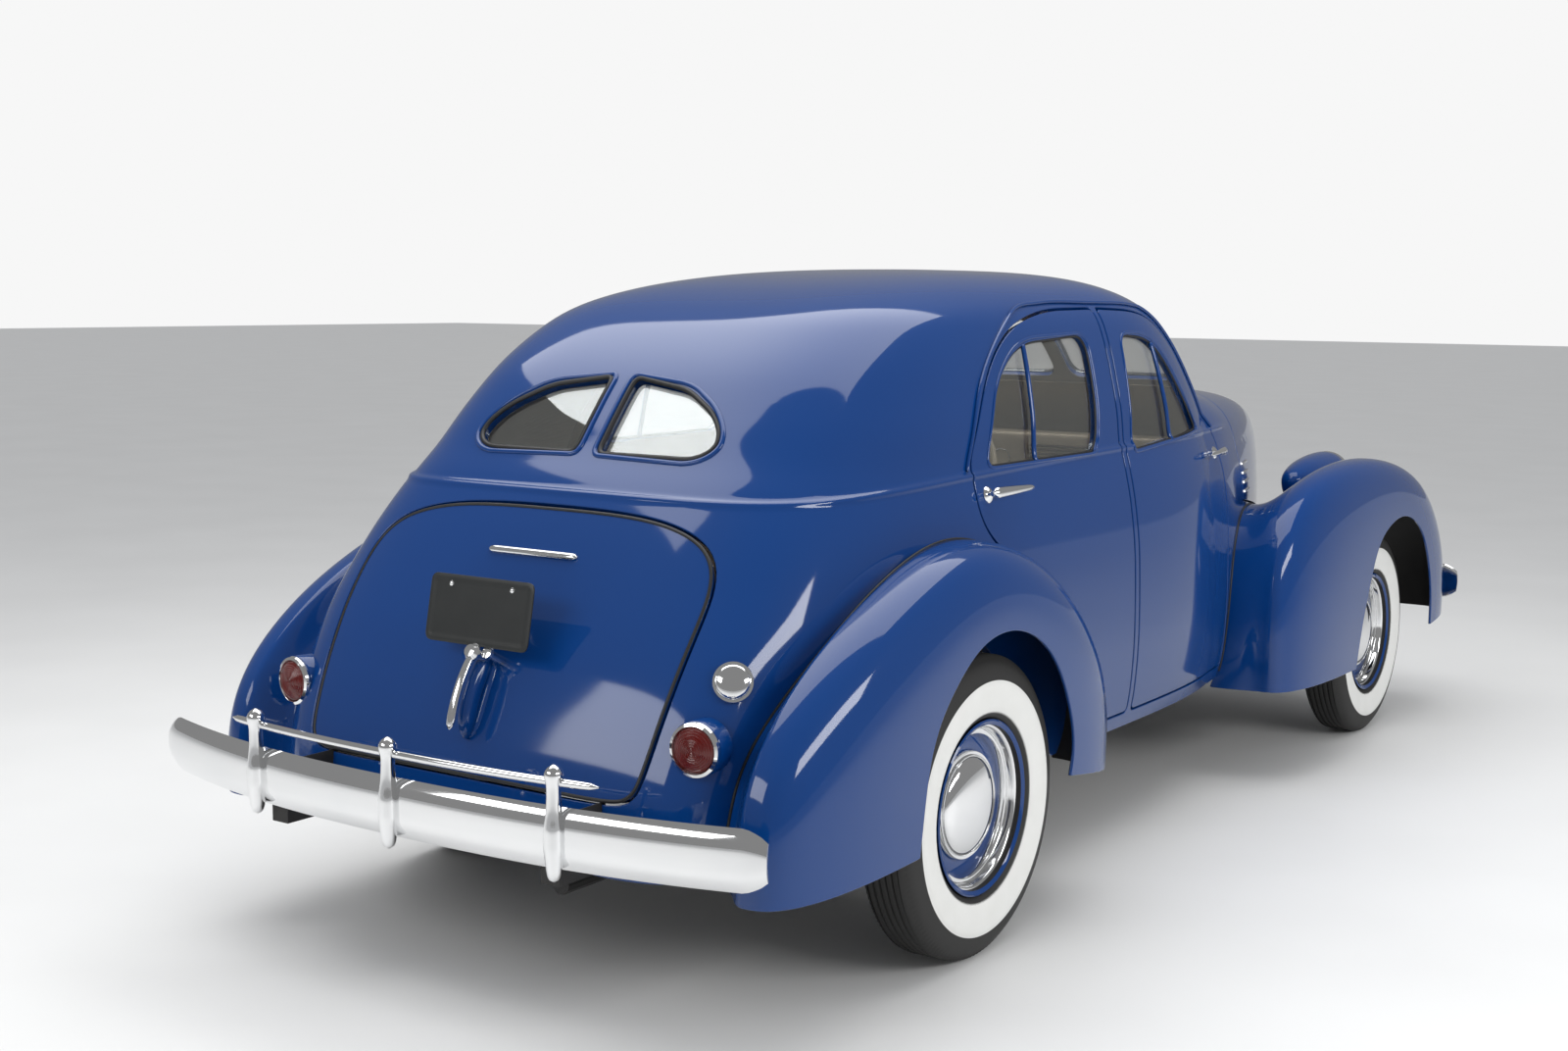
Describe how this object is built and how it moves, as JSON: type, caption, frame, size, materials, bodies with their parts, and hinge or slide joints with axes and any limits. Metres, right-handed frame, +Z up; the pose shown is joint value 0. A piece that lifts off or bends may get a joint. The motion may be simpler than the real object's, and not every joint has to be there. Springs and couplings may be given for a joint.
{
  "type": "vintage fastback sedan",
  "caption": "Fastback sedan with a split rear window, separate rounded fenders, chrome bumpers, opening doors, hood and trunk lid, and steered front wheels.",
  "frame": {"origin": "on the ground, midway along and across the car", "axes": "+Z up, -Y the way the car drives, +X the car's left side"},
  "size_m": [1.77, 4.8382, 1.6036],
  "materials": {
    "body_paint": "deep blue gloss enamel",
    "black_steel": "black chassis paint",
    "chrome": "polished",
    "glass": "clear",
    "beige_cloth": "woven",
    "beige_enamel": "satin",
    "ivory_plastic": "gloss",
    "red_lens": "gloss",
    "tyre": "black rubber with a white sidewall band"
  },
  "bodies": {
    "body": {"body_shell": "body_paint", "floor_pan": "black_steel", "chassis_frame": "black_steel", "front_axle": "black_steel", "rear_axle": "black_steel", "engine": "black_steel", "propeller_shaft": "black_steel", "exhaust": "black_steel", "fuel_tank": "black_steel", "front_fender_left": "body_paint", "front_fender_right": "body_paint", "rear_fender_left": "body_paint", "rear_fender_right": "body_paint", "nose": "body_paint", "hood_side_left": "body_paint", "hood_side_right": "body_paint", "headlamp_left": "body_paint", "headlamp_right": "body_paint", "front_bumper": "chrome", "rear_bumper": "chrome", "windscreen_left": "glass", "windscreen_right": "glass", "rear_window_left": "glass", "rear_window_right": "glass", "front_seat": "beige_cloth", "rear_seat": "beige_cloth", "dashboard": "beige_enamel", "steering_wheel": "ivory_plastic", "tail_lamp_left": "red_lens", "tail_lamp_right": "red_lens", "fuel_cap": "chrome"},
    "knuckle_left": {"knuckle_left": "black_steel"},
    "wheel_front_left": {"wheel_front_left": "body_paint", "tyre_front_left": "tyre"},
    "wheel_rear_left": {"wheel_rear_left": "body_paint", "tyre_rear_left": "tyre"},
    "knuckle_right": {"knuckle_right": "black_steel"},
    "wheel_front_right": {"wheel_front_right": "body_paint", "tyre_front_right": "tyre"},
    "wheel_rear_right": {"wheel_rear_right": "body_paint", "tyre_rear_right": "tyre"},
    "track_rod": {"track_rod": "black_steel"},
    "front_door_left": {"front_door_left": "body_paint", "front_door_left_glass": "glass"},
    "rear_door_left": {"rear_door_left": "body_paint", "rear_door_left_glass": "glass"},
    "front_door_right": {"front_door_right": "body_paint", "front_door_right_glass": "glass"},
    "rear_door_right": {"rear_door_right": "body_paint", "rear_door_right_glass": "glass"},
    "trunk_lid": {"trunk_lid": "body_paint"},
    "hood": {"hood": "body_paint"}
  },
  "joints": [
    {"name": "steer_left", "type": "hinge", "parent": "body", "child": "knuckle_left", "pos_m": [0.65, -1.591, 0.357], "axis": [0, 0, 1], "range_deg": [-28, 28]},
    {"name": "steer_right", "type": "hinge", "parent": "body", "child": "knuckle_right", "pos_m": [-0.65, -1.591, 0.357], "axis": [0, 0, 1], "range_deg": [-28, 28]},
    {"name": "spin_front_left", "type": "hinge", "parent": "knuckle_left", "child": "wheel_front_left", "pos_m": [0.724, -1.591, 0.357], "axis": [1, 0, 0], "continuous": true},
    {"name": "spin_rear_left", "type": "hinge", "parent": "body", "child": "wheel_rear_left", "pos_m": [0.772, 1.33, 0.357], "axis": [1, 0, 0], "continuous": true},
    {"name": "spin_front_right", "type": "hinge", "parent": "knuckle_right", "child": "wheel_front_right", "pos_m": [-0.724, -1.591, 0.357], "axis": [1, 0, 0], "continuous": true},
    {"name": "spin_rear_right", "type": "hinge", "parent": "body", "child": "wheel_rear_right", "pos_m": [-0.772, 1.33, 0.357], "axis": [1, 0, 0], "continuous": true},
    {"name": "track_rod_pivot", "type": "hinge", "parent": "knuckle_left", "child": "track_rod", "pos_m": [0.6, -1.431, 0.25745], "axis": [0, 0, 1], "range_deg": [-28, 28]},
    {"name": "front_door_left_hinge", "type": "hinge", "parent": "body", "child": "front_door_left", "pos_m": [0.722, 0.218, 0.8], "axis": [0, 0, 1], "range_deg": [0, 70]},
    {"name": "rear_door_left_hinge", "type": "hinge", "parent": "body", "child": "rear_door_left", "pos_m": [0.722, 0.242, 0.8], "axis": [0, 0, -1], "range_deg": [0, 70]},
    {"name": "front_door_right_hinge", "type": "hinge", "parent": "body", "child": "front_door_right", "pos_m": [-0.722, 0.218, 0.8], "axis": [0, 0, -1], "range_deg": [0, 70]},
    {"name": "rear_door_right_hinge", "type": "hinge", "parent": "body", "child": "rear_door_right", "pos_m": [-0.722, 0.242, 0.8], "axis": [0, 0, 1], "range_deg": [0, 70]},
    {"name": "trunk_lid_hinge", "type": "hinge", "parent": "body", "child": "trunk_lid", "pos_m": [0, 1.872, 1.062], "axis": [1, 0, 0], "range_deg": [0, 55]},
    {"name": "hood_hinge", "type": "hinge", "parent": "body", "child": "hood", "pos_m": [0, -0.888, 1.245], "axis": [-1, 0, 0], "range_deg": [0, 45]}
  ],
  "couplings": [
    {"joint": "steer_right", "follows": "steer_left", "ratio": 1},
    {"joint": "track_rod_pivot", "follows": "steer_left", "ratio": -1}
  ]
}
